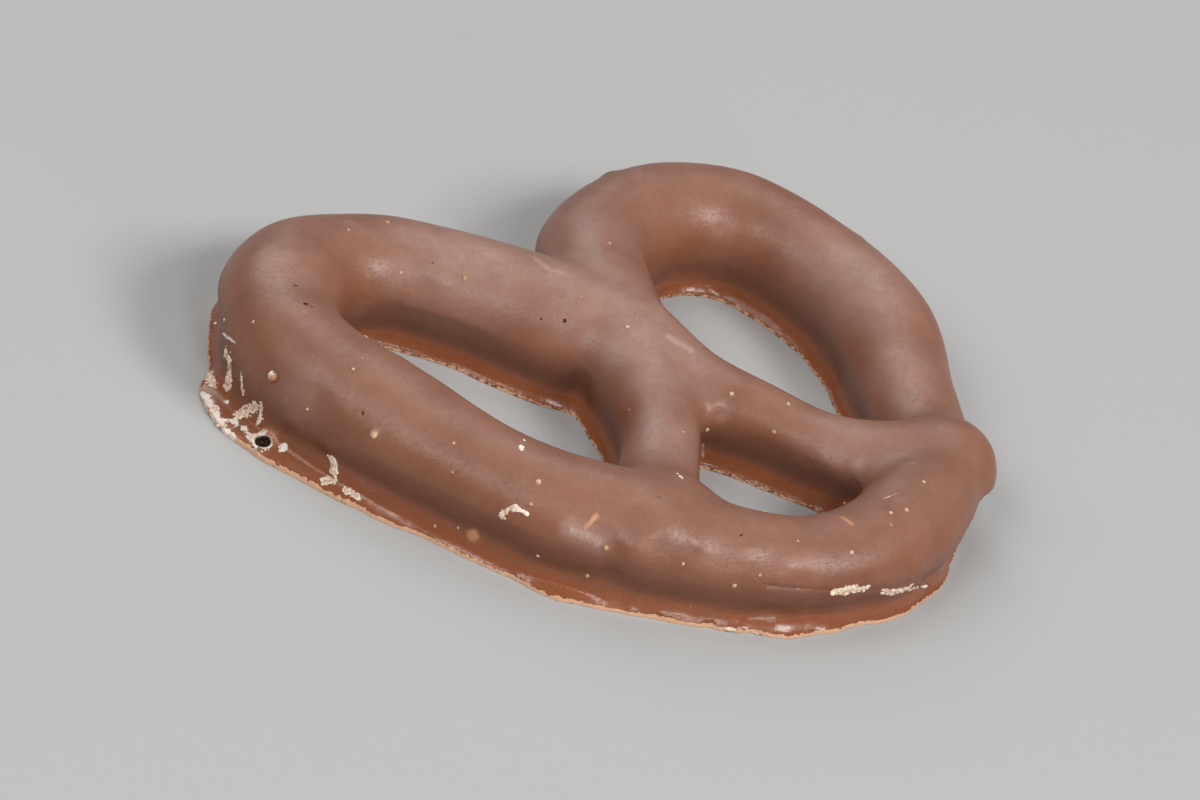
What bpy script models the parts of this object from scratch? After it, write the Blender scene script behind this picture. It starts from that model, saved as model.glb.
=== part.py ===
"""Chocolate covered pretzel: one rope of dough, looped, crossed and coated, as a single solid lying on its foot.

The rope runs from the end of the left arm through the crossing, round the right lobe, along the bottom,
round the left lobe and over the crossing to the end of the right arm. Coating fills its creases, and where
it ran down and set, it stands out as a thin uneven foot. Metres, +Z up. The origin is under the middle of
the pretzel, on the flat of the foot. +Y points from the bottom arc to the lobes.
"""

import math

import bmesh
import bpy
import numpy as np
from mathutils import Matrix, Vector, noise

MM = 0.001

# The rope, from one end to the other: x, y, height of its middle and radius, in millimetres.
LEFT_ARM = [
    (-16.5, -21.0, 6.2, 4.9),
    (-12.3, -17.0, 5.9, 4.6),
    (-7.6, -12.2, 4.9, 4.1),
    (-1.7, -5.4, 4.7, 4.3),
    (1.8, 2.0, 5.1, 5.0),
    (4.2, 10.0, 5.5, 5.8),
]
RIGHT_LOBE = [
    (8.5, 19.0, 5.5, 5.8),
    (14.5, 25.0, 5.0, 6.0),
    (24.8, 27.5, 5.2, 6.2),
    (33.2, 23.5, 5.3, 6.2),
    (36.7, 14.0, 5.3, 5.9),
]
RIGHT_SIDE = [
    (36.2, 3.6, 5.1, 5.9),
    (32.1, -5.0, 4.4, 5.4),
    (28.6, -12.4, 3.8, 5.0),
    (24.2, -18.3, 4.4, 5.1),
    (18.2, -23.3, 4.8, 5.5),
]
BOTTOM = [
    (9.6, -27.2, 4.5, 5.4),
    (0.5, -28.0, 4.4, 5.2),
    (-8.3, -24.7, 4.5, 5.5),
    (-16.4, -19.0, 5.1, 6.1),
]
LEFT_SIDE = [
    (-24.2, -11.2, 4.8, 6.1),
    (-30.0, 0.0, 5.2, 6.5),
    (-33.4, 11.0, 5.3, 6.5),
]
LEFT_LOBE = [
    (-32.0, 19.8, 5.3, 6.3),
    (-24.9, 26.9, 5.1, 6.4),
    (-15.9, 26.9, 5.0, 6.1),
    (-8.0, 21.5, 5.0, 6.4),
    (-1.7, 14.3, 5.1, 6.8),
]
RIGHT_ARM = [
    (4.0, 7.6, 5.4, 6.0),
    (6.6, 0.2, 5.1, 4.7),
    (10.9, -5.9, 4.9, 4.2),
    (15.2, -12.1, 4.8, 4.0),
    (20.5, -16.6, 5.0, 4.8),
    (25.7, -18.7, 5.3, 5.6),
]
ROPE = LEFT_ARM + RIGHT_LOBE + RIGHT_SIDE + BOTTOM + LEFT_SIDE + LEFT_LOBE + RIGHT_ARM

# The coating, in millimetres or as a share of the rope's radius.
WAIST_SHARE = 0.9  # half width of the wall just above the foot
FOOT_SHARE = 1.03  # half width of the foot
FOOT_EDGE = 0.7  # thickness of the foot
RIM_WANDER = 0.6  # how far the foot's rim wanders in and out
RIM_LENGTH = 3.5  # and the length over which it does
LUMP_DEPTH = 0.35  # height of the soft lumps all over
LUMP_LENGTH = 9.0
CREASE_FILL = 1.8  # radius of the coating that fills a crease

# Balls of coating that fill the crossing and the corner by the left arm's end: x, y, height and radius.
FILLS = [
    (2.6, 6.0, 5.2, 6.2),
    (5.5, 14.0, 5.3, 6.2),
    (6.7, 15.9, 5.3, 5.8),
    (-11.5, -18.9, 5.0, 5.5),
]

# Where the foot ran out further, or less far: x, y, radius of the place and how much further, in millimetres.
POOLS = [
    (-42.5, 15.5, 7.0, 3.1),
    (-39.0, 25.0, 6.5, -2.0),
    (4.5, -33.5, 12.0, -0.6),
    (-31.5, -9.5, 4.5, -0.8),
    (-20.5, -25.5, 7.0, 0.4),
    (29.0, -25.0, 8.0, -2.0),
    (9.0, -11.4, 5.0, -1.2),
    (-12.5, 19.0, 5.5, -1.9),
]

# Salt crystals under the coating, as seen from above: x, y, radius and height in millimetres.
SALT = [
    (-20.0, -17.0, 1.5, 0.30),
    (-28.5, 6.5, 1.3, 0.25),
    (-10.5, -28.0, 1.4, 0.28),
    (7.5, -28.0, 1.5, 0.25),
    (26.5, -15.0, 1.3, 0.22),
    (28.0, 26.5, 1.6, 0.30),
    (-18.5, 28.0, 1.5, 0.28),
    (6.0, 7.5, 1.5, 0.22),
]

# How finely it is made, in millimetres or as a count.
SECTION_STEP = 1.2  # distance between the sections of a swept strand
ARC_STEPS = 20
BELOW = 1.2  # how far the sections reach below the surface that the pretzel lies on, before the cut
CUTTER = 200.0
VOXEL = 0.42
SMOOTHING = 6
TRIANGLES = 11000

CHOCOLATE = (0.20, 0.085, 0.045, 1.0)


def clear_scene() -> None:
    for obj in list(bpy.data.objects):
        bpy.data.objects.remove(obj, do_unlink=True)


def chocolate_material() -> bpy.types.Material:
    """Satin milk chocolate."""
    material = bpy.data.materials.new("milk_chocolate")
    material.use_nodes = True
    shader = material.node_tree.nodes["Principled BSDF"]
    shader.inputs["Base Color"].default_value = CHOCOLATE
    shader.inputs["Roughness"].default_value = 0.38
    shader.inputs["Metallic"].default_value = 0.0
    return material


def smooth_path(points: list[tuple[float, ...]]) -> np.ndarray:
    """Stations SECTION_STEP apart on a Catmull-Rom curve through the points, in all four values."""
    known = np.array(points)
    known = np.vstack([2 * known[0] - known[1], known, 2 * known[-1] - known[-2]])
    stations = []
    for before, start, end, after in zip(known, known[1:], known[2:], known[3:]):
        leaving, arriving = (end - before) / 2, (after - start) / 2
        steps = round(np.linalg.norm((end - start)[:2]) / SECTION_STEP)
        for t in np.arange(steps) / steps:
            bend = (3 * (end - start) - 2 * leaving - arriving) * t**2
            settle = (leaving + arriving - 2 * (end - start)) * t**3
            stations.append(start + leaving * t + bend + settle)
    return np.array(stations + [known[-2]])


def strand_section(place: Vector, across: Vector, height: float, radius: float) -> list[tuple[float, float]]:
    """Points (across, up) of the coated rope: round above, with nearly upright walls below."""
    waist = WAIST_SHARE * radius
    drop = math.acos(WAIST_SHARE)
    arc = np.linspace(-drop, math.pi + drop, ARC_STEPS)
    return [(-waist, -BELOW), (waist, -BELOW)] + [
        (radius * math.cos(angle), height + radius * math.sin(angle)) for angle in arc
    ]


def foot_reach(place: Vector, across: Vector, radius: float) -> float:
    """How far the foot reaches from the rope's middle to one side."""
    reach = FOOT_SHARE * radius
    rim = place + across * reach
    reach += RIM_WANDER * noise.noise(rim / RIM_LENGTH)
    for x, y, size, further in POOLS:
        reach += further * math.exp(-((rim - Vector((x, y, 0))).length_squared) / size**2)
    return reach


def foot_section(place: Vector, across: Vector, height: float, radius: float) -> list[tuple[float, float]]:
    """Points (across, up) of the foot: a flat ribbon with a wandering rim on each side."""
    left = foot_reach(place, -across, radius)
    right = foot_reach(place, across, radius)
    return [(-left, -BELOW), (right, -BELOW), (right, FOOT_EDGE), (-left, FOOT_EDGE)]


def swept(name: str, section) -> bpy.types.Object:
    """The section carried along the rope and closed at both ends."""
    stations = smooth_path(ROPE)
    ahead = np.gradient(stations[:, :2], axis=0)
    ahead /= np.linalg.norm(ahead, axis=1, keepdims=True)
    bm = bmesh.new()
    loops = []
    for (x, y, height, radius), (dx, dy) in zip(stations, ahead):
        place, across = Vector((x, y, 0)), Vector((dy, -dx, 0))
        points = section(place, across, height, radius)
        loops.append([bm.verts.new((place + across * a + Vector((0, 0, up))) * MM) for a, up in points])
    for near, far in zip(loops, loops[1:]):
        for i in range(len(near)):
            bm.faces.new((near[i - 1], near[i], far[i], far[i - 1]))
    bm.faces.new(loops[0])
    bm.faces.new(loops[-1])
    bmesh.ops.recalc_face_normals(bm, faces=bm.faces)
    mesh = bpy.data.meshes.new(name)
    bm.to_mesh(mesh)
    bm.free()
    obj = bpy.data.objects.new(name, mesh)
    bpy.context.scene.collection.objects.link(obj)
    return obj


def add_balls(strand: bpy.types.Object) -> None:
    """Adds the round ends of the rope, and the coating that sits in the crossing and in the corner beside it."""
    bm = bmesh.new()
    bm.from_mesh(strand.data)
    for x, y, height, radius in [ROPE[0], ROPE[-1]] + FILLS:
        ball = bmesh.ops.create_uvsphere(bm, u_segments=ARC_STEPS, v_segments=ARC_STEPS, radius=radius * MM)
        bmesh.ops.translate(bm, verts=ball["verts"], vec=Vector((x, y, height)) * MM)
    bm.to_mesh(strand.data)
    bm.free()


def add_remesh(obj: bpy.types.Object) -> None:
    remesh = obj.modifiers.new("Remesh", "REMESH")
    remesh.mode = "VOXEL"
    remesh.voxel_size = VOXEL * MM
    remesh.use_smooth_shade = True


def add_offset(obj: bpy.types.Object, distance: float) -> None:
    offset = obj.modifiers.new("Offset", "DISPLACE")
    offset.mid_level = 0.0
    offset.strength = distance * MM


def apply_modifiers(obj: bpy.types.Object) -> None:
    graph = bpy.context.evaluated_depsgraph_get()
    mesh = bpy.data.meshes.new_from_object(obj.evaluated_get(graph))
    obj.modifiers.clear()
    obj.data = mesh


def fill_creases(strand: bpy.types.Object) -> None:
    """Coats the strand thicker by CREASE_FILL and takes the same off again, which leaves every crease filled."""
    add_remesh(strand)
    add_offset(strand, CREASE_FILL)
    add_remesh(strand)
    add_offset(strand, -CREASE_FILL)
    add_remesh(strand)
    apply_modifiers(strand)


def join(first: bpy.types.Object, second: bpy.types.Object) -> None:
    """Adds the second object's faces to the first, and removes the second."""
    bm = bmesh.new()
    bm.from_mesh(first.data)
    bm.from_mesh(second.data)
    bm.to_mesh(first.data)
    bm.free()
    bpy.data.objects.remove(second, do_unlink=True)


def raise_relief(pretzel: bpy.types.Object) -> None:
    """Soft lumps all over and bumps where salt lies under the coating, both fading out at the foot."""
    mesh = pretzel.data
    normals = [vertex.normal.copy() for vertex in mesh.vertices]
    for vertex, normal in zip(mesh.vertices, normals):
        place = vertex.co / MM
        height = LUMP_DEPTH * noise.noise(place / LUMP_LENGTH)
        for x, y, radius, rise in SALT:
            away = math.hypot(place.x - x, place.y - y) / radius
            if away < 2 and place.z > 4:
                height += rise * math.exp(-2 * away**2)
        vertex.co += normal * (height * MM * min(1.0, max(0.0, place.z - FOOT_EDGE)))


def cut_flat(pretzel: bpy.types.Object) -> None:
    """Cuts off what lies below the surface that the pretzel rests on."""
    bm = bmesh.new()
    bmesh.ops.create_cube(bm, size=CUTTER * MM)
    bmesh.ops.translate(bm, verts=bm.verts, vec=(0, 0, -CUTTER * MM / 2))
    mesh = bpy.data.meshes.new("ground_cutter")
    bm.to_mesh(mesh)
    bm.free()
    cutter = bpy.data.objects.new("ground_cutter", mesh)
    cutter.hide_render = True
    cutter.display_type = "WIRE"
    bpy.context.scene.collection.objects.link(cutter)
    cut = pretzel.modifiers.new("Flat", "BOOLEAN")
    cut.operation = "DIFFERENCE"
    cut.object = cutter


def centre_over_origin(pretzel: bpy.types.Object) -> None:
    """Moves the mesh so that the middle of its outline is over the origin."""
    places = np.array([vertex.co for vertex in pretzel.data.vertices])
    middle = (places.min(axis=0) + places.max(axis=0)) / 2
    pretzel.data.transform(Matrix.Translation((-middle[0], -middle[1], 0)))


def build_pretzel() -> bpy.types.Object:
    """The rope with its creases filled, the foot joined on, the relief raised, and the underside cut flat."""
    pretzel = swept("pretzel", strand_section)
    add_balls(pretzel)
    fill_creases(pretzel)
    join(pretzel, swept("foot", foot_section))
    add_remesh(pretzel)
    settle = pretzel.modifiers.new("Settle", "SMOOTH")
    settle.factor = 0.5
    settle.iterations = SMOOTHING
    apply_modifiers(pretzel)
    raise_relief(pretzel)
    cut_flat(pretzel)
    apply_modifiers(pretzel)
    pretzel.data.calc_loop_triangles()
    thin = pretzel.modifiers.new("Thin", "DECIMATE")
    thin.ratio = TRIANGLES / len(pretzel.data.loop_triangles)
    apply_modifiers(pretzel)
    centre_over_origin(pretzel)
    pretzel.data.materials.append(chocolate_material())
    return pretzel


def main() -> None:
    clear_scene()
    build_pretzel()


main()
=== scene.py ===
"""Chocolate covered pretzel: the coated twist on its foot of set chocolate, with the crumbs and flakes on it.

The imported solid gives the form. Here it gets a finer skin, the broken rim of its foot, the marks of handling,
and a satin milk chocolate. Lengths are in millimetres here, and objects are in metres.
"""

import logging
import math
from collections.abc import Iterator
from contextlib import contextmanager
from dataclasses import dataclass, replace
from enum import Enum

import bmesh
import bpy
import numpy as np
from mathutils import Matrix, Quaternion, Vector, noise
from mathutils.bvhtree import BVHTree
from mathutils.kdtree import KDTree


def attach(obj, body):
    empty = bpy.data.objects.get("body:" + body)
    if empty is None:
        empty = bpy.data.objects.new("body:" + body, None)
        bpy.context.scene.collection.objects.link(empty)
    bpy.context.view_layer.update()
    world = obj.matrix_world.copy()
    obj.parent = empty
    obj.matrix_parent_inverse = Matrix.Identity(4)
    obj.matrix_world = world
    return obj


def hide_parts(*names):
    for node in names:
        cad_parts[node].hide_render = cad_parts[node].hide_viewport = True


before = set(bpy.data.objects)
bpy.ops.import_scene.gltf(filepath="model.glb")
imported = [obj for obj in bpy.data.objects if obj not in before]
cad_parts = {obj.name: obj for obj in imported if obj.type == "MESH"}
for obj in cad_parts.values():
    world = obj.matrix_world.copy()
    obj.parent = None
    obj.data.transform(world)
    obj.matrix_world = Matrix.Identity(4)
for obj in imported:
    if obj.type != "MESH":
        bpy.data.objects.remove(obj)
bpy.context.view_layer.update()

log = logging.getLogger("pretzel")

MM = 0.001
Point = tuple[float, float, float]
Seen = tuple[float, float]
Colour = tuple[float, float, float]
Socket = bpy.types.NodeSocket

# The camera: where it stands, the point that it looks at, its roll in degrees, and its lens, all in millimetres.
# What is called seen is a place in its picture, across and down, with the picture taken as 1200 by 800.
EYE = (-435.5, -377.2, 334.9)
TARGET = (-4.7, 0.9, 5.0)
ROLL = 19.44
LENS = 200.0
SENSOR = 36.0
PICTURE = (1200, 800)

# How far the lowest points of the loose bits stay above the ground.
GROUND_GAP = 0.02


class Mark(Enum):
    """The point attributes that tell the chocolate's finish what lies where, from 0 to 1."""

    RIM = "rim"
    SCUFF = "scuff"
    BLOOM = "bloom"
    # Painted shade: near black in the pinholes and the burst hole.
    PIT_SHADE = "painted_pit_shade"
    STAIN = "stain"
    # The skirt's tone: partly the thinner coating there, partly painted shade.
    SKIRT = "skirt"
    # Painted shade on the lower walls.
    WALL = "wall"
    # Painted sheen: greyish pink on the upper faces and in patches, where the lights reflect.
    PAINTED_SHEEN = "painted_sheen"


class Relief(Enum):
    """The form of a round mark on the coating."""

    NONE = "none"
    BUMP = "bump"
    BLISTER = "blister"
    BURST = "burst"
    PINHOLE = "pinhole"
    DIMPLE = "dimple"

    def profile(self, away: np.ndarray) -> np.ndarray:
        """The height of the mark as a share of its rise.

        Args:
            away: distances from its middle, in radii.

        Returns:
            One share for each distance.
        """
        dome = np.exp(-1.6 * away**2)
        ring = np.exp(-(((away - 1.15) / 0.28) ** 2))
        if self is Relief.BUMP:
            return dome
        if self is Relief.BLISTER:
            return np.clip(1.25 - away**2, 0, 1) ** 0.5 - 0.45 * ring
        if self is Relief.BURST:
            return 0.35 * ring - 1.0 / (1.0 + np.exp(14 * (away - 0.75)))
        if self is Relief.PINHOLE:
            return -1.0 / (1.0 + np.exp(9 * (away - 0.7)))
        if self is Relief.DIMPLE:
            return -dome
        return np.zeros_like(away)


@dataclass(frozen=True)
class Spot:
    """A round mark: its middle, seen or on the skin, its radius, its height, and what it does to the finish."""

    place: Seen | Point
    radius: float
    relief: Relief = Relief.NONE
    rise: float = 0.0
    mark: Mark | None = None
    amount: float = 0.0


@dataclass(frozen=True)
class Streak:
    """A long mark through seen places: half its width, how high it stands, and what it does to the finish."""

    points: tuple[Seen | Point, ...]
    width: float
    rise: float = 0.0
    mark: Mark | None = None
    amount: float = 0.0


@dataclass(frozen=True)
class Flake:
    """A shard of broken coating: its place, length, width, heading along the skin in degrees, and its rise from it."""

    place: Seen | Point
    length: float
    width: float
    heading: float
    rise: float


# Crumbs of the crust that stick to the coating: where each is seen, and its radius.
CRUMBS = (
    ((374, 434), 0.4), ((538, 482), 0.28), ((606, 548), 0.24), ((388, 222), 0.24), ((465, 278), 0.22),
    ((401, 273), 0.14), ((348, 230), 0.16), ((253, 322), 0.15), ((353, 369), 0.14), ((362, 358), 0.12),
    ((307, 409), 0.14), ((454, 443), 0.12), ((452, 472), 0.12), ((627, 327), 0.2), ((636, 318), 0.14),
    ((581, 297), 0.13), ((531, 504), 0.17), ((458, 528), 0.13), ((435, 526), 0.13), ((609, 243), 0.2),
    ((731, 394), 0.22), ((788, 404), 0.2), ((774, 432), 0.18), ((707, 430), 0.22), ((683, 432), 0.13),
    ((629, 410), 0.15), ((587, 576), 0.2), ((760, 575), 0.19), ((734, 586), 0.2), ((798, 541), 0.15),
    ((852, 552), 0.19), ((924, 482), 0.2), ((891, 513), 0.22), ((907, 510), 0.22), ((891, 525), 0.14),
    ((845, 503), 0.14), ((538, 556), 0.15), ((683, 564), 0.13),
)

# Round marks on the side that the camera sees, by their form and what they do to the finish: the place seen,
# the radius, the rise or depth, and how strong the change of the finish is.
ROUND_MARKS = {
    (Relief.BUMP, None): (
        ((632, 550), 2.1, 0.56, 0), ((694, 543), 1.5, 0.24, 0), ((790, 569), 2.0, 0.24, 0),
        ((919, 564), 1.3, 0.2, 0), ((716, 404), 1.1, 0.28, 0), ((829, 466), 1.6, 0.26, 0),
        ((292, 420), 1.3, 0.28, 0), ((329, 444), 1.4, 0.24, 0), ((437, 276), 1.6, 0.22, 0),
    ),
    (Relief.BUMP, Mark.STAIN): (((473, 534), 0.9, 0.32, 0.75),),
    (Relief.BUMP, Mark.SCUFF): (
        ((521, 447), 0.4, 0.08, 0.8), ((283, 448), 0.42, 0.16, 1.0), ((227, 402), 0.3, 0.06, 0.9),
    ),
    (Relief.DIMPLE, None): (
        ((662, 547), 1.3, 0.1, 0), ((612, 574), 1.4, 0.28, 0), ((316, 402), 1.7, 0.26, 0),
    ),
    (Relief.BLISTER, None): (((272, 376), 0.5, 0.34, 0),),
    (Relief.BURST, None): (((263, 442), 0.85, 0.6, 0),),
    # The pinholes are coloured near black, a painted shade.
    (Relief.PINHOLE, Mark.PIT_SHADE): (
        ((296, 285), 0.22, 0.14, 0.7), ((306, 304), 0.3, 0.16, 0.8), ((312, 306), 0.18, 0.14, 0.7),
        ((362, 413), 0.18, 0.14, 0.7), ((433, 263), 0.18, 0.14, 0.6), ((564, 321), 0.24, 0.18, 0.8),
        ((541, 319), 0.16, 0.12, 0.6), ((324, 219), 0.2, 0.12, 0.6), ((741, 535), 0.18, 0.14, 0.8),
        ((660, 497), 0.15, 0.12, 0.6),
    ),
    # The burst hole's opening is coloured near black, a painted shade.
    (Relief.NONE, Mark.PIT_SHADE): (((263, 442), 0.78, 0, 1.0),),
    (Relief.NONE, Mark.STAIN): (
        ((272, 376), 0.62, 0, 0.9), ((268, 439), 1.3, 0, 0.8), ((369, 275), 0.34, 0, 0.8),
    ),
    (Relief.NONE, Mark.SCUFF): (
        # The first is the pale middle of the blister: partly bloom, partly a painted highlight.
        ((273, 374), 0.3, 0, 0.85), ((261, 444), 1.05, 0, 0.75), ((517, 437), 0.3, 0, 0.6),
        ((525, 441), 0.22, 0, 0.7),
    ),
    # The sheen marks are painted sheen: broad greyish patches on the upper faces, where the overhead lights reflect.
    (Relief.NONE, Mark.PAINTED_SHEEN): (
        ((656, 340), 6.5, 0, 0.6), ((586, 281), 6.5, 0, 0.55), ((656, 434), 5.0, 0, 0.45),
        ((469, 258), 7.0, 0, 0.6), ((844, 451), 4.0, 0, 0.45), ((844, 281), 6.5, 0, 0.6),
        ((890, 375), 5.0, 0, 0.35), ((586, 223), 5.0, 0, 0.3), ((288, 268), 3.0, 0, 0.3),
        ((300, 395), 3.0, 0, 0.4),
    ),
}
SPOTS = tuple(
    Spot(place, radius, relief, rise, mark, amount)
    for (relief, mark), rows in ROUND_MARKS.items() for place, radius, rise, amount in rows
)

# Long marks on the same side, by what they do to the finish: the places seen along them, half the width, the rise,
# and how strong the change is. They are the crease of the near strand and its pale ends, scrapes, smears of fat
# and crumbs, a painted highlight and painted sheen on the near strand, and the crumbled coating at the left tip.
LONG_MARKS = {
    None: ((((767, 585), (802, 589), (834, 591), (883, 589), (928, 585)), 0.2, -0.16, 0),),
    Mark.STAIN: (
        (((596, 515), (586, 527)), 0.28, 0.04, 1.0), (((841, 517), (853, 525)), 0.28, 0.03, 1.0),
        (((703, 444), (703, 456)), 0.2, 0.02, 0.9),
    ),
    # The sheen smear is a painted highlight on the near strand, where the front light reflects.
    Mark.PAINTED_SHEEN: ((((572, 529), (585, 536), (600, 541)), 1.1, 0, 0.75),),
    # The first bloom streak is a painted highlight in the same place as the sheen smear; the others are bloom.
    Mark.BLOOM: (
        (((574, 530), (586, 536), (598, 540)), 0.6, 0, 0.7), (((669, 337), (690, 349)), 0.6, 0, 0.75),
        (((534, 257), (548, 269), (562, 272)), 0.6, 0, 0.65), (((902, 465), (915, 463)), 0.3, 0, 0.7),
    ),
    Mark.SCUFF: (
        (((834, 593), (850, 590), (866, 589)), 0.42, 0.04, 0.95),
        (((884, 592), (897, 591), (909, 588)), 0.4, 0.04, 0.95),
        (((909, 590), (928, 586)), 0.14, 0, 0.8), (((675, 472), (681, 477)), 0.24, 0.05, 0.8),
        (((501, 517), (506, 511), (515, 507), (527, 514)), 0.24, 0.14, 0.95),
        (((881, 499), (900, 493)), 0.14, -0.04, 0.7), (((214, 312), (224, 321)), 0.13, -0.04, 0.65),
        (((215, 322), (224, 334), (234, 342)), 0.17, -0.05, 0.75),
        (((226, 352), (230, 362), (230, 374), (227, 388)), 0.42, 0.16, 1.0),
        (((241, 375), (243, 392)), 0.18, 0.08, 1.0), (((209, 374), (213, 384)), 0.45, 0.08, 1.0),
        (((240, 414), (255, 407)), 0.5, 0.1, 1.0), (((261, 405), (259, 422)), 0.24, 0.08, 1.0),
        (((203, 394), (211, 406), (221, 423), (231, 438)), 0.5, -0.08, 0.9),
        (((233, 419), (246, 433)), 0.5, 0, 0.65), (((252, 436), (264, 432)), 0.28, 0.08, 1.0),
        (((332, 459), (334, 472)), 0.38, 0.12, 1.0), (((324, 480), (335, 481)), 0.32, 0.08, 1.0),
        (((346, 490), (357, 496)), 0.3, 0.06, 0.95),
    ),
}
STREAKS = tuple(
    Streak(points, width, rise, mark, amount)
    for mark, rows in LONG_MARKS.items() for points, width, rise, amount in rows
)

# Round marks on the side away from the camera: how many, their form, radii and rises, and what they do to the finish.
SCATTERED = (
    (20, Relief.PINHOLE, (0.16, 0.26), (0.1, 0.18), Mark.PIT_SHADE, (0.6, 0.8)),
    (9, Relief.BUMP, (1.0, 1.8), (0.15, 0.32), None, (0, 0)),
    (3, Relief.BLISTER, (0.4, 0.6), (0.15, 0.3), None, (0, 0)),
    (12, Relief.NONE, (0.6, 1.6), (0, 0), Mark.BLOOM, (0.4, 0.8)),
    (9, Relief.NONE, (0.3, 0.6), (0, 0), Mark.SCUFF, (0.7, 1.0)),
    (8, Relief.NONE, (0.3, 0.6), (0, 0), Mark.STAIN, (0.6, 0.9)),
)

# Shards of broken coating: the place seen or on the skin, length, width, heading and rise in degrees.
FLAKES = (
    ((227, 354), 1.3, 0.55, 70, 16), ((230, 366), 1.5, 0.7, 80, 12), ((228, 380), 1.2, 0.6, 100, 14),
    ((210, 378), 0.9, 0.5, 60, 14), ((243, 412), 1.0, 0.6, 20, 14), ((253, 408), 0.8, 0.5, 40, 12),
    ((213, 410), 1.2, 0.5, 50, 16), ((222, 426), 1.1, 0.5, 40, 16), ((333, 463), 0.8, 0.5, 80, 12),
    ((514, 508), 1.1, 0.45, 20, 12), ((729, 628), 1.6, 0.5, 0, 20), ((757, 634), 1.2, 0.4, 10, 16),
    ((28.0, 32.0, 0.8), 1.1, 0.5, 30, 20), ((40.5, 18.0, 0.8), 1.0, 0.5, 80, 18),
    ((-22.0, 32.0, 0.8), 1.2, 0.5, 10, 20), ((33.5, -14.0, 0.8), 1.1, 0.5, 50, 18),
)

# Where the foot spread farther out or less far: the place in the plan, half the length along the rim, reach.
SPREADS = (
    ((-42.0, 6.5), 6.5, 1.1), ((-38.0, -2.0), 5.0, 0.8), ((-26.4, -20.8), 2.4, 0.7), ((-19.5, -25.0), 3.5, -0.45),
    ((-12.5, -29.0), 4.0, -0.45), ((-5.0, -32.6), 3.5, 0.4), ((5.0, -33.1), 4.0, -0.35),
)

# Where the rim of the foot broke away with the largest bites: the place seen, half the length along the rim, depth.
BITES = (
    ((212, 410), 2.6, 0.5), ((355, 512), 1.4, 0.12), ((417, 538), 1.6, 0.15),
    ((514, 582), 1.4, 0.15), ((574, 608), 1.2, 0.15), ((664, 616), 1.8, 0.2), ((709, 625), 1.0, 0.25),
    ((757, 633), 0.9, 0.2), ((826, 634), 1.6, 0.12),
)


@contextmanager
def opened(mesh: bpy.types.Mesh) -> Iterator[bmesh.types.BMesh]:
    """Opens a mesh for bmesh's operators, and puts the outcome back into it.

    Args:
        mesh: the mesh.

    Yields:
        The same mesh, as the operators need it.
    """
    bm = bmesh.new()
    bm.from_mesh(mesh)
    yield bm
    bm.to_mesh(mesh)
    bm.free()


def halve(bm: bmesh.types.BMesh, inside: set[int]) -> None:
    """Halves the edges that have both ends among some vertices.

    Args:
        bm: the mesh.
        inside: the indices of the vertices.
    """
    edges = [edge for edge in bm.edges if all(vertex.index in inside for vertex in edge.verts)]
    bmesh.ops.subdivide_edges(bm, edges=edges, cuts=1, use_grid_fill=True)
    bmesh.ops.triangulate(bm, faces=[face for face in bm.faces if len(face.verts) > 4])


def soften(bm: bmesh.types.BMesh, verts: list[bmesh.types.BMVert]) -> None:
    """Moves every vertex given half of the way to the middle of its neighbours."""
    bmesh.ops.smooth_vert(bm, verts=verts, factor=0.5, use_axis_x=True, use_axis_y=True, use_axis_z=True)


def camera_turn() -> Quaternion:
    """How the camera is turned."""
    ahead = Vector(TARGET) - Vector(EYE)
    return ahead.to_track_quat("-Z", "Y") @ Quaternion((0, 0, 1), math.radians(ROLL))


class Sight:
    """Finds the points of the skin that the camera sees."""

    def __init__(self, mesh: bpy.types.Mesh) -> None:
        """Reads the skin.

        Args:
            mesh: the skin's mesh, in metres.
        """
        bm = bmesh.new()
        bm.from_mesh(mesh)
        self.tree = BVHTree.FromBMesh(bm)
        bm.free()
        self.turn = camera_turn()

    def point(self, place: Seen | Point) -> Point:
        """The point of the skin at a place.

        Args:
            place: a place in the picture, or a point of the skin, which is given back.

        Returns:
            The point in millimetres. Just outside the outline it is the skin's nearest point.
        """
        if len(place) == 3:
            return place
        reach = LENS / SENSOR * PICTURE[0]
        across, up = (place[0] - PICTURE[0] / 2) / reach, (PICTURE[1] / 2 - place[1]) / reach
        ray = (self.turn @ Vector((across, up, -1))).normalized()
        eye = Vector(EYE) * MM
        hit = self.tree.ray_cast(eye, ray)[0]
        if hit is None:
            hit = self.tree.find_nearest(eye - ray * (eye.z / ray.z))[0]
        return tuple(hit / MM)


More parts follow.
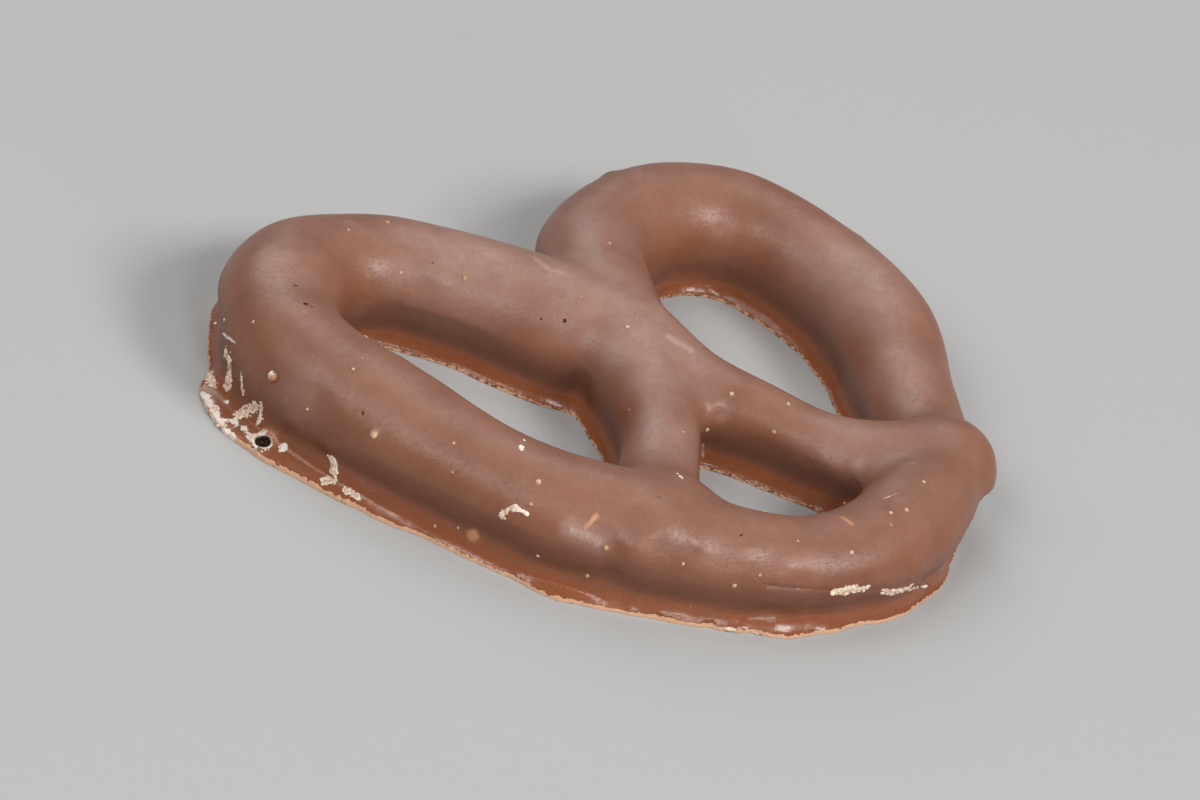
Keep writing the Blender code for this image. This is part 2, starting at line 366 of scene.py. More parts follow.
class Skin:
    """The points of a mesh in millimetres, with the marks on them, as arrays."""

    def __init__(self, mesh: bpy.types.Mesh) -> None:
        """Reads the mesh.

        Args:
            mesh: the mesh whose points and normals are read.
        """
        self.mesh = mesh
        count = len(mesh.vertices)
        places = np.empty(count * 3, dtype=np.float32)
        mesh.vertices.foreach_get("co", places)
        normals = np.empty(count * 3, dtype=np.float32)
        mesh.vertex_normals.foreach_get("vector", normals)
        self.places = places.reshape(-1, 3).astype(float) / MM
        self.normals = normals.reshape(-1, 3).astype(float)
        self.marks = {mark: np.zeros(count) for mark in Mark}

    def nearest(self, point: Point) -> np.ndarray:
        """The skin's own point that is closest to a place."""
        return self.places[self.index_of(point)]

    def index_of(self, point: Point) -> int:
        """The index of the skin's point that is closest to a place."""
        return int(np.argmin(((self.places - point) ** 2).sum(axis=1)))

    def noise(self, length: float, shift: float = 0.0) -> np.ndarray:
        """Noise of about -1 to 1 at every point, with lumps of a given length, and moved aside by a shift."""
        return np.array([noise.noise(Vector(place)) for place in self.places / length + shift])

    def raise_by(self, heights: np.ndarray) -> None:
        """Moves every point along its normal, in millimetres."""
        self.places += self.normals * heights[:, None]

    def distance_to(self, points: tuple[Point, ...]) -> np.ndarray:
        """The distance of every point from a line through some points.

        Args:
            points: the line's points, which are first moved onto the skin.

        Returns:
            The distances in millimetres.
        """
        line = [self.nearest(point) for point in points]
        away = np.full(len(self.places), np.inf)
        for start, end in zip(line, line[1:]):
            step = end - start
            share = np.clip((self.places - start) @ step / (step @ step + 1e-9), 0, 1)
            away = np.minimum(away, np.linalg.norm(self.places - start - share[:, None] * step, axis=1))
        return away

    def add_mark(self, source: Spot | Streak, away: np.ndarray) -> None:
        """Notes a mark at every point by its distance in radii, fading from its middle to one and a half radii."""
        if source.mark:
            self.marks[source.mark] = np.maximum(self.marks[source.mark], source.amount * np.clip(1.5 - away, 0, 1))

    def write_places(self) -> None:
        """Puts the points back into the mesh."""
        self.mesh.vertices.foreach_set("co", (self.places * MM).astype(np.float32).ravel())
        self.mesh.update()

    def write_marks(self) -> None:
        """Puts one attribute for each kind of mark into the mesh."""
        for mark, values in self.marks.items():
            attribute = self.mesh.attributes.new(mark.value, "FLOAT", "POINT")
            attribute.data.foreach_set("value", np.clip(values, 0, 1).astype(np.float32))


@dataclass
class Outline:
    """The outline of the foot a little above the ground: its points and the outward directions there, in the plane.

    Where a point bounds one of the holes, its entry in holes is 1, and 0 elsewhere. The entry in reach is how far
    the foot goes beyond the outline.
    """

    SHORTEST = 1e-6

    points: np.ndarray
    outward: np.ndarray
    holes: np.ndarray
    reach: np.ndarray
    tree: KDTree

    @classmethod
    def of_mesh(cls, mesh: bpy.types.Mesh, height: float, step: float) -> "Outline":
        """Cuts a mesh with a level plane.

        Args:
            mesh: the mesh, in metres.
            height: the plane's height in millimetres.
            step: the distance between the outline's points in millimetres.

        Returns:
            The outline.
        """
        bm = bmesh.new()
        bm.from_mesh(mesh)
        bmesh.ops.remove_doubles(bm, verts=bm.verts, dist=1e-6)
        everything = bm.verts[:] + bm.edges[:] + bm.faces[:]
        cut = bmesh.ops.bisect_plane(bm, geom=everything, dist=1e-7, plane_co=(0, 0, height * MM), plane_no=(0, 0, 1))
        bm.normal_update()
        edges = [part for part in cut["geom_cut"] if isinstance(part, bmesh.types.BMEdge)]
        outer = cls.outer_loop(edges)
        points, outward, holes = [], [], []
        for edge in edges:
            first, second = (vertex.co.xy / MM for vertex in edge.verts)
            along = second - first
            if along.length < cls.SHORTEST:
                continue
            side = Vector((along.y, -along.x)).normalized()
            facing = (edge.verts[0].normal + edge.verts[1].normal).xy
            side = side if side.dot(facing) > 0 else -side
            parts = max(1, round(along.length / step))
            for part in range(parts):
                points.append(first + along * ((part + 0.5) / parts))
                outward.append(side)
                holes.append(float(edge not in outer))
        bm.free()
        tree = KDTree(len(points))
        for index, point in enumerate(points):
            tree.insert((point.x, point.y, 0), index)
        tree.balance()
        return cls(np.array(points), np.array(outward), np.array(holes), np.zeros(len(points)), tree)

    def spread(self) -> None:
        """Lets the foot reach beyond the outline where it spread farther out."""
        for place, half, reach in SPREADS:
            away = np.linalg.norm(self.points - place, axis=1) / half
            self.reach += reach * np.exp(-(away**2)) * (1 - self.holes)

    @staticmethod
    def outer_loop(edges: list[bmesh.types.BMEdge]) -> set[bmesh.types.BMEdge]:
        """The edges of the loop that reaches farthest to the left, which is the outer one.

        Args:
            edges: the edges of every loop.

        Returns:
            Those of the outer loop.
        """
        around = {}
        for edge in edges:
            for vertex in edge.verts:
                around.setdefault(vertex, []).append(edge)
        todo = [min(around, key=lambda vertex: vertex.co.x)]
        outer, seen = set(), set(todo)
        while todo:
            for edge in around[todo.pop()]:
                outer.add(edge)
                for vertex in edge.verts:
                    if vertex not in seen:
                        seen.add(vertex)
                        todo.append(vertex)
        return outer

    def locate(self, place: np.ndarray) -> tuple[int, float]:
        """The index of the outline's point nearest to a place, and how far outside the outline the place lies."""
        index = self.tree.find((place[0], place[1], 0))[1]
        return index, float((place[:2] - self.points[index]) @ self.outward[index])


@dataclass
class CoatedPretzel:
    """The whole coated twist as one skin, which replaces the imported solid.

    Its foot ends in a low rim. A concave skirt rises inward from the rim, and the wall stands on the skirt. The
    skirt is wider and taller at the left tip, where the coating flared, and smaller in the holes. Heights are
    above the ground, and places across the foot are told by how far outside its outline they lie.
    """

    node: str = "pretzel"
    name: str = "coated_pretzel"
    voxel: float = 0.43
    smoothing: int = 18
    foot_fade: float = 1.3
    outline_height: float = 0.2
    outline_step: float = 0.15
    foot_reach: float = 0.60
    foot_top: float = 1.0
    foot_band: tuple[float, float] = (-2.6, 2.0)
    fine_above: float = 0.1
    fine_below: float = 3.4
    fine_inside: float = -3.0
    rim_height: float = 0.30
    skirt_width: float = 0.92
    skirt_rise: float = 1.45
    skirt_bend: float = 1.50
    flare_heading: float = -155.0
    flare_facing: tuple[float, float] = (0.65, 0.3)
    flare_width: float = 0.95
    flare_rise: float = 2.2
    hole_share: float = 0.7
    wall_rise: float = 3.9
    wall_overhang: float = 0.25
    wall_top: float = 5.6
    flute_above: float = 0.6
    flute_soft: float = 0.35
    flute_settling: int = 4
    uneven: float = 0.22
    uneven_lengths: tuple[float, float] = (5.0, 4.0)
    waves: tuple[tuple[float, float], ...] = ((5.5, 0.06), (1.9, 0.012))
    wave_rise: tuple[float, float] = (0.8, 1.5)
    rim_reach: float = 1.1
    rim_zone_top: float = 1.15
    rim_inset: float = 0.03
    rim_ragged: tuple[tuple[float, float], ...] = ((1.6, 0.09), (0.5, 0.06))
    rim_depth: float = 0.45
    rim_grain: float = 0.03
    rim_swell: float = 0.12
    rim_uneven: float = 0.16
    # How much less pale the rim is in the holes: painted shade.
    rim_shade_in_holes: float = 0.55
    mark_margin: float = 0.3
    mark_step: float = 0.6
    small_mark: float = 0.9
    # Where the painted shade of the lower walls starts, and over how much height it fades.
    wall_shade_below: float = 7.5
    wall_shade_fade: float = 4.0
    flat_below: float = 0.12
    flat_facing_down: float = 0.4
    most_triangles: int = 185000
    crisp_angle: float = 42.0
    seed: int = 20

    def build(self, finish: bpy.types.Material) -> bpy.types.Object:
        """Builds the piece and dresses it.

        Args:
            finish: the chocolate.

        Returns:
            The finished piece, riding on the root body in place of the node.
        """
        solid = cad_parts[self.node].data
        self.outline = Outline.of_mesh(solid, self.outline_height, self.outline_step)
        self.outline.spread()
        piece = self.piece = self.smooth_copy(solid)
        self.shape_foot()
        self.sight = Sight(piece.data)
        self.place_marks()
        self.refine()
        self.skin = Skin(piece.data)
        self.wave()
        self.break_rim()
        self.press_marks()
        self.paint_wall_shade()
        self.flatten_underside()
        self.skin.write_places()
        self.skin.write_marks()
        self.thin_out()
        piece.data.shade_smooth()
        piece.data.set_sharp_from_angle(angle=math.radians(self.crisp_angle))
        piece.data.materials.clear()
        piece.data.materials.append(finish)
        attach(piece, "root")
        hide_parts(self.node)
        log.info("%s: %d faces", piece.name, len(piece.data.polygons))
        return piece

    def smooth_copy(self, solid: bpy.types.Mesh) -> bpy.types.Object:
        """The node's form with an even, finer mesh and without its facets.

        Args:
            solid: the node's mesh.

        Returns:
            A new object at the origin.
        """
        mesh = solid.copy()
        mesh.name = self.name
        with opened(mesh) as bm:
            bmesh.ops.remove_doubles(bm, verts=bm.verts, dist=1e-6)
        piece = bpy.data.objects.new(self.name, mesh)
        bpy.context.scene.collection.objects.link(piece)
        remesh = piece.modifiers.new("Remesh", "REMESH")
        remesh.mode = "VOXEL"
        remesh.voxel_size = self.voxel * MM
        apply_modifiers(piece)
        with opened(piece.data) as bm:
            for turn in range(self.smoothing):
                floor = self.foot_fade * MM * (turn + 1) / self.smoothing
                soften(bm, [vertex for vertex in bm.verts if vertex.co.z > floor])
        return piece

    def shape_foot(self) -> None:
        """Gives the foot its full reach, and presses a flute between it and the wall."""
        self.divide_foot()
        outline, skin = self.outline, Skin(self.piece.data)
        flutes = [self.flute_at(index) for index in range(len(outline.points))]
        inner, outer = self.foot_band
        start, spread, none = 1.5, 1.1, -9
        changed = set()
        for index in np.flatnonzero(skin.places[:, 2] < self.wall_top):
            place = skin.places[index]
            near, outside = outline.locate(place)
            if outside < inner or outside > outer:
                continue
            moved = outside
            if place[2] < self.foot_top:
                reach = self.foot_reach + outline.reach[near]
                moved += reach * min(1.0, max(0.0, (start + outside) / spread)) * (self.foot_top - place[2])
            line = flutes[near]
            inward = float(np.interp(place[2], line[:, 1], line[:, 0], left=none, right=none))
            inward = self.soft_greater(-moved, inward) if inward > -start else -moved
            place[:2] -= outline.outward[near] * (inward + outside)
            changed.add(int(index))
        skin.write_places()
        with opened(self.piece.data) as bm:
            soft = [vertex for vertex in bm.verts if vertex.index in changed and vertex.co.z > self.flute_above * MM]
            for _ in range(self.flute_settling):
                soften(bm, soft)

    def soft_greater(self, first: float, second: float) -> float:
        """The greater of two lengths, with the step between them rounded off."""
        return 0.5 * (first + second + math.hypot(first - second, self.flute_soft)) - 0.25 * self.flute_soft

    def divide_foot(self) -> None:
        """Halves the edges of the foot and the low wall, but not of the underside."""
        with opened(self.piece.data) as bm:
            low = [vertex for vertex in bm.verts if self.fine_above * MM < vertex.co.z < self.fine_below * MM]
            halve(bm, {vertex.index for vertex in low if self.outline.locate(vertex.co / MM)[1] > self.fine_inside})

    def flute_at(self, index: int) -> np.ndarray:
        """The section of the foot at one point of the outline: from the rim up the skirt, and up the wall.

        Args:
            index: the outline's point.

        Returns:
            Pairs of the distance inward and the height, with the height rising.
        """
        point, reach = self.outline.points[index], self.outline.reach[index]
        heading = math.radians(self.flare_heading)
        toward_flare = self.outline.outward[index] @ (math.cos(heading), math.sin(heading))
        starts, over = self.flare_facing
        facing = float(np.clip((toward_flare - starts) / over, 0, 1))
        share = 1 - (1 - self.hole_share) * self.outline.holes[index]
        wide, tall = self.uneven_lengths
        width = self.skirt_width + (self.flare_width - self.skirt_width) * facing
        width *= share * (1 + self.uneven * noise.noise(Vector((*point, 0)) / wide))
        rise = self.skirt_rise + (self.flare_rise - self.skirt_rise) * facing
        rise *= share * (1 + self.uneven * noise.noise(Vector((*point, 9)) / tall))
        skirt = [
            (width * step - reach * (1 - step), self.rim_height + rise * step**self.skirt_bend)
            for step in np.linspace(0, 1, 9)
        ]
        wall = [
            (width - (width + self.wall_overhang) * step**2 * (3 - 2 * step),
             self.rim_height + rise + self.wall_rise * step)
            for step in np.linspace(0.1, 1, 10)
        ]
        return np.array(skirt + wall)

    def place_marks(self) -> None:
        """Finds the places of all the round marks and the long ones on the skin."""
        point = self.sight.point
        self.spots = [replace(spot, place=point(spot.place)) for spot in SPOTS]
        for place, radius in CRUMBS:
            self.spots.append(Spot(point(place), 1.5 * radius, Relief.BUMP, 0.3 * radius, Mark.STAIN, 0.75))
        self.spots += self.scattered_spots()
        self.streaks = [replace(streak, points=tuple(point(seen) for seen in streak.points)) for streak in STREAKS]

    def scattered_spots(self) -> list[Spot]:
        """Marks like those in the photograph, on the parts of the pretzel that it doesn't show.

        Returns:
            The marks.
        """
        skin, dice = Skin(self.piece.data), np.random.default_rng(self.seed)
        hidden = hidden_points(skin)
        spots = []
        for count, relief, radii, rises, mark, amounts in SCATTERED:
            for place in skin.places[dice.choice(hidden, count, replace=False)]:
                radius, rise, amount = (dice.uniform(*span) for span in (radii, rises, amounts))
                spots.append(Spot(tuple(place), radius, relief, rise, mark, amount))
        return spots

    def refine(self) -> None:
        """Divides the mesh where it carries small forms: along the rim, and at the marks."""
        raised = [spot for spot in self.spots if spot.relief is not Relief.NONE]
        zones = [(spot.place, 1.4 * spot.radius + self.mark_margin) for spot in raised]
        for streak in self.streaks:
            for start, end in zip(streak.points, streak.points[1:]):
                steps = max(1, round(math.dist(start, end) / self.mark_step))
                line = np.linspace(start, end, steps + 1)
                zones += [(tuple(place), 2 * streak.width + self.mark_margin) for place in line]
        self.divide(zones, at_rim=True)
        small = [spot for spot in raised if spot.relief is not Relief.DIMPLE and spot.radius < self.small_mark]
        self.divide([(spot.place, 1.3 * spot.radius + 0.2) for spot in small], at_rim=False)

    def divide(self, zones: list[tuple[Point, float]], at_rim: bool) -> None:
        """Halves the edges inside some zones.

        Args:
            zones: the middle and radius of each zone.
            at_rim: whether edges near the foot's rim are halved as well.
        """
        with opened(self.piece.data) as bm:
            tree = KDTree(len(bm.verts))
            for vertex in bm.verts:
                tree.insert(vertex.co / MM, vertex.index)
            tree.balance()
            inside = set()
            for place, radius in zones:
                inside.update(index for _, index, _ in tree.find_range(tree.find(place)[0], radius))
            if at_rim:
                low = [vertex for vertex in bm.verts if vertex.co.z < self.rim_zone_top * MM]
                near = [vertex for vertex in low if abs(self.outline.locate(vertex.co / MM)[1]) < self.rim_reach]
                inside.update(vertex.index for vertex in near)
            halve(bm, inside)

    def wave(self) -> None:
        """The slight waves that a poured coating sets with."""
        heights = sum(depth * self.skin.noise(length, 7.0 * length) for length, depth in self.waves)
        starts, over = self.wave_rise
        self.skin.raise_by(heights * np.clip((self.skin.places[:, 2] - starts) / over, 0, 1))

    def rim_lines(self) -> np.ndarray:
        """The ragged line along which the rim broke.

        Returns:
            How far outside each of the outline's points it lies.
        """
        points, lines = self.outline.points, self.outline.reach - self.rim_inset
        for length, depth in self.rim_ragged:
            lines += depth * np.array([noise.noise(Vector((*point, 0)) / length) for point in points])
        for place, half, depth in BITES:
            away = np.linalg.norm(points - self.sight.point(place)[:2], axis=1) / half
            lines -= depth * np.exp(-(away**4))
        return lines

    def break_rim(self) -> None:
        """Presses the rim of the foot back to a ragged line, which leaves a steep broken edge."""
        outline, skin, lines = self.outline, self.skin, self.rim_lines()
        tone_top, tone_fade, tone_inside = 2.9, 1.6, 3.4
        grain, crumb, cliff = 0.35, 0.5, 0.06
        for index in np.flatnonzero(skin.places[:, 2] < tone_top + 0.1):
            place = skin.places[index]
            near, outside = outline.locate(place)
            tone = (tone_top - place[2]) / tone_fade
            # The skirt's tone, deeper the lower a point is: partly the thinner coating there, partly painted shade.
            skin.marks[Mark.SKIRT][index] = tone * min(1.0, max(0.0, tone_inside + outside))
            limit = lines[near] + self.rim_grain * noise.noise(Vector(place) / grain)
            crumbled = noise.noise(Vector(place) / crumb)
            swell = self.rim_swell * min(1.0, max(0.0, outline.reach[near]))
            height = self.rim_height + swell + self.rim_uneven * crumbled
            if outside > limit - self.rim_depth and place[2] < height:
                pale = 0.95 + 0.5 * crumbled
            elif outside > limit and place[2] < self.foot_top:
                pale = min(1.0, (outside - limit) / cliff) * (place[2] < height + 0.15)
            else:
                continue
            place[:2] -= outline.outward[near] * (outside - limit)
            # In the holes the pale rim is toned back toward the chocolate, a painted shade.
            skin.marks[Mark.RIM][index] = pale * (1 - self.rim_shade_in_holes * outline.holes[near])

    def press_marks(self) -> None:
        """Raises or presses every mark, and notes what it does to the finish."""
        skin = self.skin
        heights = np.zeros(len(skin.places))
        crumbly = 0.5 + 0.8 * skin.noise(0.4)
        for spot in self.spots:
            away = np.linalg.norm(skin.places - skin.nearest(spot.place), axis=1) / spot.radius
            heights += spot.rise * spot.relief.profile(away)
            skin.add_mark(spot, away)
        for streak in self.streaks:
            away = skin.distance_to(streak.points) / streak.width
            rough = crumbly if streak.mark is Mark.SCUFF else 1.0
            heights += streak.rise * np.exp(-(away**2)) * rough
            skin.add_mark(streak, away)
        skin.raise_by(heights * (skin.places[:, 2] > self.rim_height))

    def paint_wall_shade(self) -> None:
        """Notes painted shade on the lower walls: more the lower a point is and the less it faces up."""
        low = np.clip((self.wall_shade_below - self.skin.places[:, 2]) / self.wall_shade_fade, 0, 1)
        self.skin.marks[Mark.WALL] = low * np.clip(1 - self.skin.normals[:, 2], 0, 1)

    def flatten_underside(self) -> None:
        """Sets the underside level on the ground."""
        heights, down = self.skin.places[:, 2], self.skin.normals[:, 2] < -0.9
        heights[(heights < self.flat_below) | (down & (heights < self.flat_facing_down))] = 0.0

    def thin_out(self) -> None:
        """Takes triangles out where the skin is flat or even, down to the most triangles set for it."""
        self.piece.data.calc_loop_triangles()
        thinner = self.piece.modifiers.new("Thinner", "DECIMATE")
        thinner.ratio = min(1.0, self.most_triangles / len(self.piece.data.loop_triangles))
        thinner.use_collapse_triangulate = True
        apply_modifiers(self.piece)


@dataclass
class Loose:
    """Small bits that stick to the skin of the coating, joined into one piece."""

    skin: Skin
    sight: Sight
    finish: bpy.types.Material
    name: str
    seed: int

    def __post_init__(self) -> None:
        """Starts the piece's mesh, and the source of its small differences."""
        self.dice = np.random.default_rng(self.seed)
        self.bm = bmesh.new()

    def seat(
        self, bm: bmesh.types.BMesh, verts: list[bmesh.types.BMVert], index: int, turn: Quaternion, lift: float
    ) -> None:
        """Sets one bit on the skin, keeps it above the ground, and brings it to metres.

        Args:
            bm: the mesh that it is in.
            verts: its vertices, around the origin.
            index: the point of the skin that it sits at.
            turn: its turn before it is set upright on the skin.
            lift: how far its middle lies above the skin.
        """
        normal = Vector(self.skin.normals[index])
        upright = normal.to_track_quat("Z", "Y") @ turn
        bmesh.ops.rotate(bm, verts=verts, matrix=upright.to_matrix(), cent=(0, 0, 0))
        bmesh.ops.translate(bm, verts=verts, vec=Vector(self.skin.places[index]) + normal * lift)
        for vertex in verts:
            vertex.co.z = max(vertex.co.z, GROUND_GAP)
        bmesh.ops.scale(bm, verts=verts, vec=(MM, MM, MM))

    def spin(self) -> Quaternion:
        """Any turn on the skin."""
        return Quaternion((0, 0, 1), self.dice.uniform(0, math.tau))

    def add_bits(self) -> None:
        """Adds every bit, which each kind does in its own way."""
        raise NotImplementedError

    def build(self) -> bpy.types.Object:
        """Builds every bit, all as one piece.

        Returns:
            The finished piece, riding on the root body.
        """
        self.add_bits()
        mesh = bpy.data.meshes.new(self.name)
        self.bm.to_mesh(mesh)
        self.bm.free()
        mesh.shade_smooth()
        mesh.materials.append(self.finish)
        piece = bpy.data.objects.new(self.name, mesh)
        bpy.context.scene.collection.objects.link(piece)
        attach(piece, "root")
        log.info("%s: %d faces", piece.name, len(mesh.polygons))
        return piece


@dataclass
class Crumbs(Loose):
    """The crumbs of crust that stick to the coating: small rough grains, mostly sunk into it."""

    name: str = "crust_crumbs"
    seed: int = 31
    more: int = 60
    flatness: float = 0.45
    sunk: float = 0.05

    def add_bits(self) -> None:
        """Adds the crumbs that the camera sees, and more on the side away from it."""
        chosen = self.skin.places[self.dice.choice(hidden_points(self.skin), self.more, replace=False)]
        grains = [(self.sight.point(place), radius) for place, radius in CRUMBS]
        grains += [(tuple(place), float(self.dice.uniform(0.12, 0.25))) for place in chosen]
        for place, radius in grains:
            self.add_grain(self.skin.index_of(place), radius)

    def add_grain(self, index: int, radius: float) -> None:
        """Adds one crumb.

        Args:
            index: the point of the skin that it sits at.
            radius: its size.
        """
        verts = bmesh.ops.create_icosphere(self.bm, subdivisions=2, radius=radius)["verts"]
        shift = Vector(self.dice.uniform(0, 50, 3))
        for vertex in verts:
            vertex.co *= 1 + 0.45 * noise.noise(vertex.co / (0.9 * radius) + shift)
        bmesh.ops.scale(self.bm, verts=verts, vec=(self.dice.uniform(0.8, 1.35), 1.0, self.flatness))
        self.seat(self.bm, verts, index, self.spin(), radius * self.sunk)


@dataclass
class Crumble(Loose):
    """The grains of crumbled coating in the scuffs that the camera sees."""

    name: str = "crumbled_coating"
    seed: int = 12
    each_mm2: float = 16.0
    sizes: tuple[float, float] = (0.07, 0.22)
    strongest: float = 0.94

    def add_bits(self) -> None:
        """Adds grains along the strongest scuffs, more where they are longer and wider."""
        for streak in STREAKS:
            if streak.mark is Mark.SCUFF and streak.amount > self.strongest:
                line = [np.array(self.sight.point(point)) for point in streak.points]
                length = sum(math.dist(start, end) for start, end in zip(line, line[1:]))
                for _ in range(round(self.each_mm2 * 2 * streak.width * (length + streak.width))):
                    self.add_grain(line, streak.width)

    def add_grain(self, line: list[np.ndarray], width: float) -> None:
        """Adds one grain near a line.

        Args:
            line: the line's points.
            width: how far from the line most grains lie.
        """
        dice = self.dice
        part = int(dice.integers(len(line) - 1))
        place = line[part] + (line[part + 1] - line[part]) * dice.uniform(-0.1, 1.1)
        index = self.skin.index_of(place + dice.normal(0, 0.55 * width, 3))
        radius = dice.uniform(*self.sizes)
        verts = bmesh.ops.create_icosphere(self.bm, subdivisions=1, radius=radius)["verts"]
        for vertex in verts:
            vertex.co *= dice.uniform(0.65, 1.15)
        bmesh.ops.scale(self.bm, verts=verts, vec=(dice.uniform(0.9, 1.8), 1.0, 0.6))
        self.seat(self.bm, verts, index, self.spin(), radius * 0.1)


@dataclass
class Flakes(Loose):
    """The shards of broken coating at the left tip and on the foot's rim."""

    name: str = "coating_flakes"
    seed: int = 8
    thickness: float = 0.13
    corners: int = 14
    lift: float = 0.05

    def add_bits(self) -> None:
        """Adds the flakes."""
        for row in FLAKES:
            self.add_flake(Flake(*row))

    def add_flake(self, flake: Flake) -> None:
        """Adds one curled shard with a ragged outline.

        Args:
            flake: its place, size and heading.
        """
        mesh = bpy.data.meshes.new("shard")
        with opened(mesh) as bm:
            made = bmesh.ops.create_circle(bm, cap_ends=True, radius=0.5, segments=self.corners)
            for vertex in made["verts"]:
                vertex.co *= self.dice.uniform(0.62, 1.0)
            bmesh.ops.scale(bm, verts=bm.verts, vec=(flake.length, flake.width, 1))
            bmesh.ops.poke(bm, faces=bm.faces)
            bmesh.ops.subdivide_edges(bm, edges=bm.edges, cuts=1, use_grid_fill=True)
            curl = self.dice.uniform(0.25, 0.5) / flake.length
            shift = Vector(self.dice.uniform(0, 50, 3))
            for vertex in bm.verts:
                vertex.co.z = curl * vertex.co.x**2 + 0.12 * noise.noise(vertex.co / 0.5 + shift)
            bmesh.ops.recalc_face_normals(bm, faces=bm.faces)
            bmesh.ops.solidify(bm, geom=bm.faces[:], thickness=self.thickness)
            bmesh.ops.recalc_face_normals(bm, faces=bm.faces)
            rise = Quaternion((0, 1, 0), math.radians(-flake.rise))
            turn = Quaternion((0, 0, 1), math.radians(flake.heading)) @ rise
            index = self.skin.index_of(self.sight.point(flake.place))
            self.seat(bm, bm.verts, index, turn, self.lift)
        self.bm.from_mesh(mesh)
        bpy.data.meshes.remove(mesh)


def hidden_points(skin: Skin) -> np.ndarray:
    """The indices of a skin's points above the foot that face away from the photograph's camera."""
    away = skin.normals @ np.array(EYE) / np.linalg.norm(EYE) < 0.05
    return np.flatnonzero(away & (skin.places[:, 2] > 1.3) & (skin.normals[:, 2] > -0.5))


def apply_modifiers(piece: bpy.types.Object) -> None:
    """Replaces an object's mesh by what its modifiers make of it.

    Args:
        piece: the object, which loses its modifiers.
    """
    graph = bpy.context.evaluated_depsgraph_get()
    mesh = bpy.data.meshes.new_from_object(piece.evaluated_get(graph))
    piece.modifiers.clear()
    piece.data = mesh


class Recipe:
    """The nodes of one material, added one after another."""

    def __init__(self, name: str) -> None:
        """Starts a material.

        Args:
            name: the material's name.
        """
        self.material = bpy.data.materials.new(name)
        self.material.use_nodes = True
        self.nodes = self.material.node_tree.nodes
        self.links = self.material.node_tree.links
        self.shader = self.nodes["Principled BSDF"]
        self.coordinates = self.nodes.new("ShaderNodeTexCoord").outputs["Object"]

    def feed(self, socket: Socket, value: object) -> None:
        """Links a socket or sets it, whichever the value is.

        Args:
            socket: the input.
            value: a socket, a colour or a number.
        """
        if isinstance(value, Socket):
            self.links.new(value, socket)
        elif isinstance(value, tuple) and socket.type == "RGBA":
            socket.default_value = (*value, 1.0)
        else:
            socket.default_value = value

    def add(self, kind: str, output: str | int, inputs: dict[str | int, object], **settings: object) -> Socket:
        """Adds a node.

        Args:
            kind: the node's kind, as Blender names it after ShaderNode.
            output: the output that is wanted.
            inputs: what each input gets.
            settings: the node's own settings.

        Returns:
            That output.
        """
        node = self.nodes.new(f"ShaderNode{kind}")
        for name, value in settings.items():
            setattr(node, name, value)
        for name, value in inputs.items():
            self.feed(node.inputs[name], value)
        return node.outputs[output]

    def grid(self, scale: Point = (1.0, 1.0, 1.0), turn: Point = (0.0, 0.0, 0.0)) -> Socket:
        """Object coordinates in millimetres, stretched and turned.

        Args:
            scale: how many units each millimetre makes.
            turn: the turn about each axis in degrees.

        Returns:
            The vector.
        """
        turned = any(turn)
        sizes = [MM / value if turned else value / MM for value in scale]
        inputs = {"Vector": self.coordinates, "Rotation": [math.radians(angle) for angle in turn], "Scale": sizes}
        return self.add("Mapping", "Vector", inputs, vector_type="TEXTURE" if turned else "POINT")

    def noise(self, vector: Socket, length: float, detail: float = 2.0, roughness: float = 0.5) -> Socket:
        """Noise from 0 to 1, whose largest lumps have a given length, with so many finer layers of some strength."""
        inputs = {"Vector": vector, "Scale": 1 / length, "Detail": detail, "Roughness": roughness}
        return self.add("TexNoise", "Fac", inputs)

    def mark(self, mark: Mark) -> Socket:
        """The value of one mark on the surface."""
        return self.add("Attribute", "Fac", {}, attribute_name=mark.value)

    def math(self, operation: str, first: object, second: object = 0.0, clamp: bool = False) -> Socket:
        """One step of arithmetic, kept from 0 to 1 where clamp is set."""
        return self.add("Math", 0, {0: first, 1: second}, operation=operation, use_clamp=clamp)

    def times(self, first: object, second: object, clamp: bool = False) -> Socket:
        """The product of two values."""
        return self.math("MULTIPLY", first, second, clamp)

    def plus(self, first: object, second: object, clamp: bool = False) -> Socket:
        """The sum of two values."""
        return self.math("ADD", first, second, clamp)

    def span(self, value: object, low: float, high: float, start: float = 0.0, end: float = 1.0) -> Socket:
        """Stretches a value smoothly from the range of low to high to the one of start to end."""
        inputs = {"Value": value, "From Min": low, "From Max": high, "To Min": start, "To Max": end}
        return self.add("MapRange", "Result", inputs, interpolation_type="SMOOTHSTEP")

    def mix(self, share: object, first: object, second: object) -> Socket:
        """Mixes two colours, with a given share of the second."""
        return self.add("Mix", 2, {"Factor": share, 6: first, 7: second}, data_type="RGBA")

    def bump(self, height: object, depth: float, below: Socket | None = None) -> Socket:
        """A bump on the surface, with its depth in millimetres, on the normal of a coarser one below."""
        inputs = {"Distance": depth * MM, "Height": height} | ({"Normal": below} if below else {})
        return self.add("Bump", "Normal", inputs)

    def finish(self, colour: object, roughness: object, normal: Socket | None = None) -> bpy.types.Material:
        """Gives the shader what it needs.

        Args:
            colour: the base colour.
            roughness: the roughness.
            normal: the normal, where the surface has a bump.

        Returns:
            The material.
        """
        self.feed(self.shader.inputs["Base Color"], colour)
        self.feed(self.shader.inputs["Roughness"], roughness)
        if normal:
            self.feed(self.shader.inputs["Normal"], normal)
        return self.material


